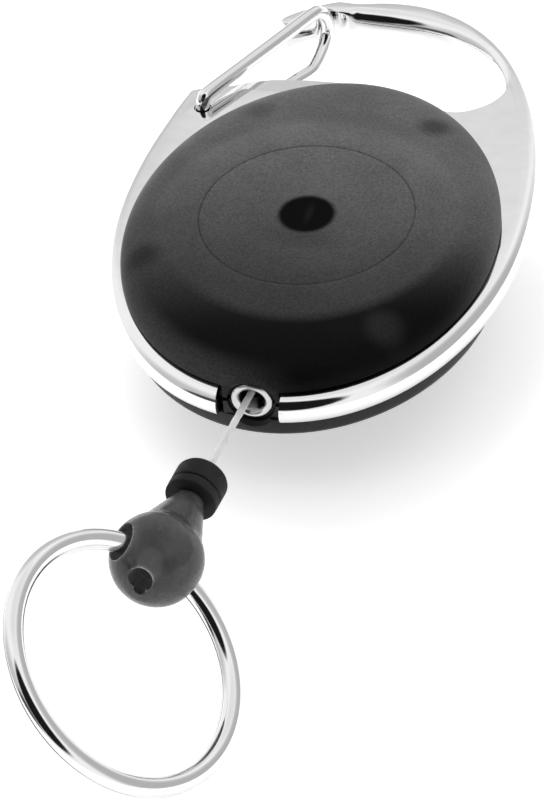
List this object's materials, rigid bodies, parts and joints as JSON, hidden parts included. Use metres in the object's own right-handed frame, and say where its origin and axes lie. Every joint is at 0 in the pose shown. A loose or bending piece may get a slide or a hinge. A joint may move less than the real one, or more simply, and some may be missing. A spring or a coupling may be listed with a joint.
{
  "type": "retractable badge reel",
  "caption": "Oval spring-return badge reel in a carabiner frame, with a cord, a stop bumper, a swivelling bell end and a split ring.",
  "frame": {"origin": "on the spool axis, at the rear cover's flat face", "axes": "+Z out of the front cover along the spool axis, +Y towards the carabiner hook, the cord leaves towards -Y"},
  "size_m": [0.0397, 0.1059, 0.018],
  "materials": {
    "chrome": "bright nickel-chrome plate on a zinc casting",
    "gate_steel": "plated spring wire",
    "ring_steel": "nickel-plated steel",
    "eyelet_chrome": "plated brass",
    "smoke_plastic": "smoke-black frosted ABS",
    "bell_plastic": "smoke translucent",
    "black_acetal": "satin",
    "reel_plastic": "satin",
    "washer_film": "smooth film",
    "spring_steel": "tempered strip",
    "white_cord": "braided",
    "bumper_rubber": "matt"
  },
  "bodies": {
    "case": {"carabiner_frame": "chrome", "front_cover": "smoke_plastic", "rear_cover": "smoke_plastic", "spindle": "black_acetal", "thrust_washer": "washer_film", "power_spring": "spring_steel", "eyelet": "eyelet_chrome", "cord": "white_cord"},
    "gate": {"gate_wire": "gate_steel"},
    "spool": {"spool_drum": "reel_plastic", "spool_flange": "reel_plastic", "spring_retainer": "washer_film", "cord_winding": "white_cord", "anchor_knot": "white_cord"},
    "cord_end": {"bumper_sleeve": "bumper_rubber", "bumper_washer": "bumper_rubber"},
    "bell": {"bell_end": "bell_plastic", "end_knot": "white_cord"},
    "ring": {"split_ring": "ring_steel"}
  },
  "joints": [
    {"name": "gate_swing", "type": "hinge", "parent": "case", "child": "gate", "pos_m": [-0.0155, 0.0189, 0.0054], "axis": [0, 0, -1], "range_deg": [0, 26], "stiffness_Nm_per_rad": 0.005, "springref_deg": -17.19},
    {"name": "spool_spin", "type": "hinge", "parent": "case", "child": "spool", "pos_m": [0, 0, 0.0054], "axis": [0, 0, 1], "range_deg": [-60, 2800], "deforming": ["power_spring"]},
    {"name": "cord_pull", "type": "slide", "parent": "case", "child": "cord_end", "axis": [-0.1198, -0.9928, 0], "range_m": [-0.0085, 0.55], "stiffness_N_per_m": 0.6, "springref_m": -1, "deforming": ["cord"]},
    {"name": "bell_swivel", "type": "hinge", "parent": "cord_end", "child": "bell", "pos_m": [-0.0035, -0.04239, 0.0054], "axis": [-0.1198, -0.9928, 0], "continuous": true},
    {"name": "ring_swing", "type": "hinge", "parent": "bell", "child": "ring", "pos_m": [-0.00357, -0.04299, 0.0054], "axis": [0.7276, 0.0933, -0.6796], "range_deg": [-100, 100]}
  ],
  "couplings": [
    {"joint": "spool_spin", "follows": "cord_pull", "rad_per_m": 88.5}
  ]
}
